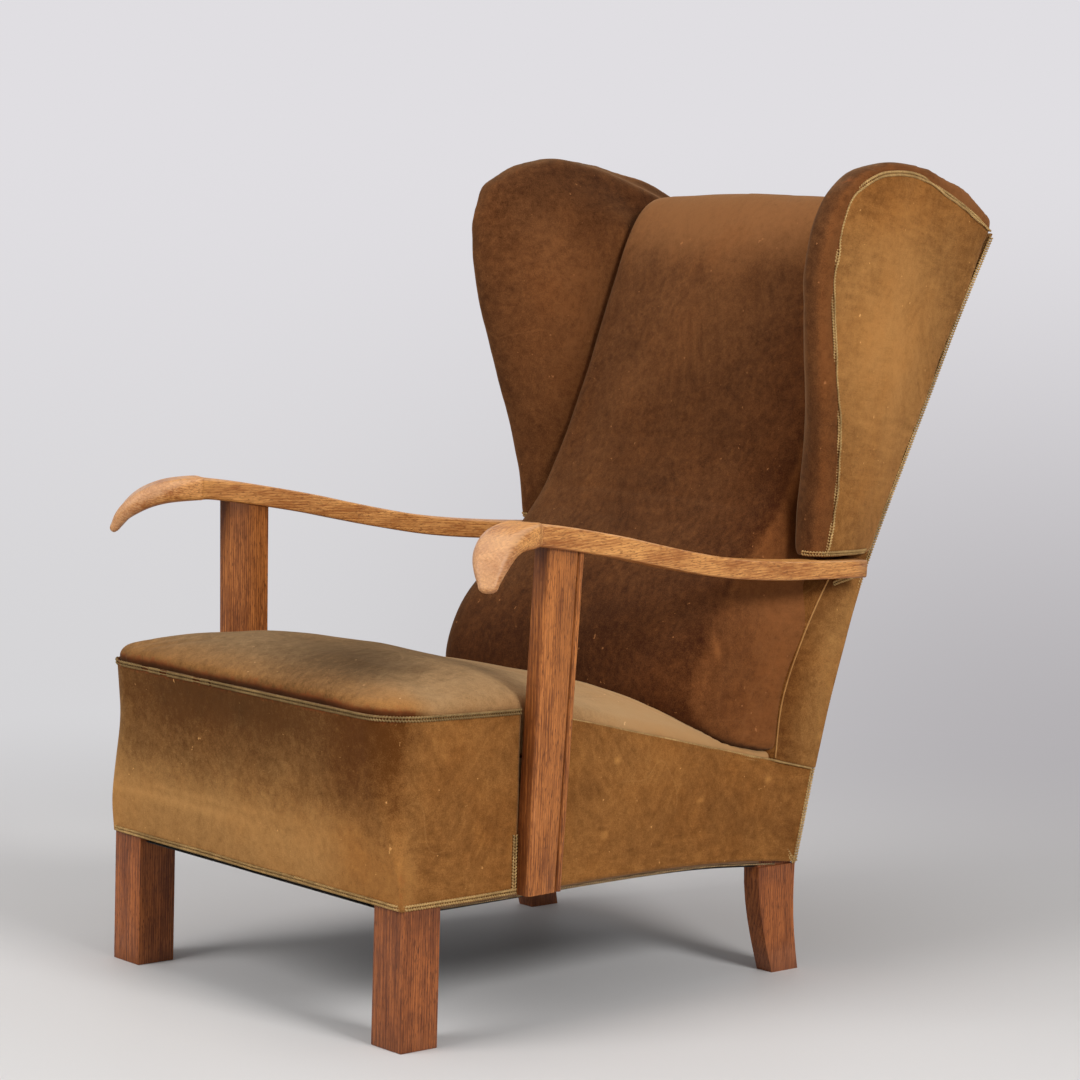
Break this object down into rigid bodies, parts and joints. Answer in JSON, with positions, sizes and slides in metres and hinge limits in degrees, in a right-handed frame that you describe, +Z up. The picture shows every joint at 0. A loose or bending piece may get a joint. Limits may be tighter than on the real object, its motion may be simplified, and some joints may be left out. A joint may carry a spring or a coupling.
{
  "type": "wingback armchair",
  "caption": "Wingback armchair with a sprung velour seat, an S-shaped padded back, side wings, open curved wooden arms on posts, square front legs and raked rear legs.",
  "frame": {"origin": "on the floor, at the centre of the bounding box seen from above", "axes": "+Z up; the seat's front faces -Y; +X is the sitter's left"},
  "size_m": [0.7696, 0.9988, 1.0411],
  "materials": {
    "dark_oak": "worn reddish oak, satin",
    "oak": "honey-brown oak, worn satin",
    "beech": "plain sawn beech",
    "gold_velour": "worn golden olive velour",
    "seat_velour": "faded greyish olive velour",
    "brown_velour": "dark reddish brown velour",
    "braid": "twisted tan braid",
    "jute": "woven jute",
    "hair": "curled hair stuffing",
    "black_cloth": "thin black dust cloth",
    "steel": "plain steel wire and screws"
  },
  "bodies": {
    "root": {"front_leg_left": "dark_oak", "front_leg_right": "dark_oak", "rear_leg_left": "dark_oak", "rear_leg_right": "dark_oak", "front_rail": "beech", "side_rail_left": "beech", "side_rail_right": "beech", "rear_rail": "beech", "front_corner_block_left": "beech", "front_corner_block_right": "beech", "rear_corner_block_left": "beech", "rear_corner_block_right": "beech", "back_top_rail": "beech", "back_stay_rail": "beech", "wing_stile_left": "beech", "wing_stile_right": "beech", "wing_top_rail_left": "beech", "wing_top_rail_right": "beech", "arm_left": "oak", "arm_right": "oak", "arm_post_left": "oak", "arm_post_right": "oak", "post_bolt_left": "steel", "post_bolt_right": "steel", "arm_screw_left": "steel", "arm_screw_right": "steel", "seat_webbing": "jute", "seat_spring_1_1": "steel", "seat_spring_1_2": "steel", "seat_spring_1_3": "steel", "seat_spring_2_1": "steel", "seat_spring_2_2": "steel", "seat_spring_2_3": "steel", "seat_spring_3_1": "steel", "seat_spring_3_2": "steel", "seat_spring_3_3": "steel", "seat_hessian": "jute", "seat_stuffing": "hair", "front_wadding": "hair", "back_webbing": "jute", "back_stuffing": "hair", "wing_stuffing_left": "hair", "wing_stuffing_right": "hair", "dust_cloth": "black_cloth", "seat_cover": "seat_velour", "front_cover": "gold_velour", "side_cover_left": "gold_velour", "side_cover_right": "gold_velour", "back_cover": "brown_velour", "side_panel_left": "gold_velour", "side_panel_right": "gold_velour", "outside_back_cover": "gold_velour", "wing_cover_left": "brown_velour", "wing_cover_right": "brown_velour", "wing_panel_left": "gold_velour", "wing_panel_right": "gold_velour", "front_braid": "braid", "side_braid_left": "braid", "side_braid_right": "braid"}
  },
  "joints": []
}
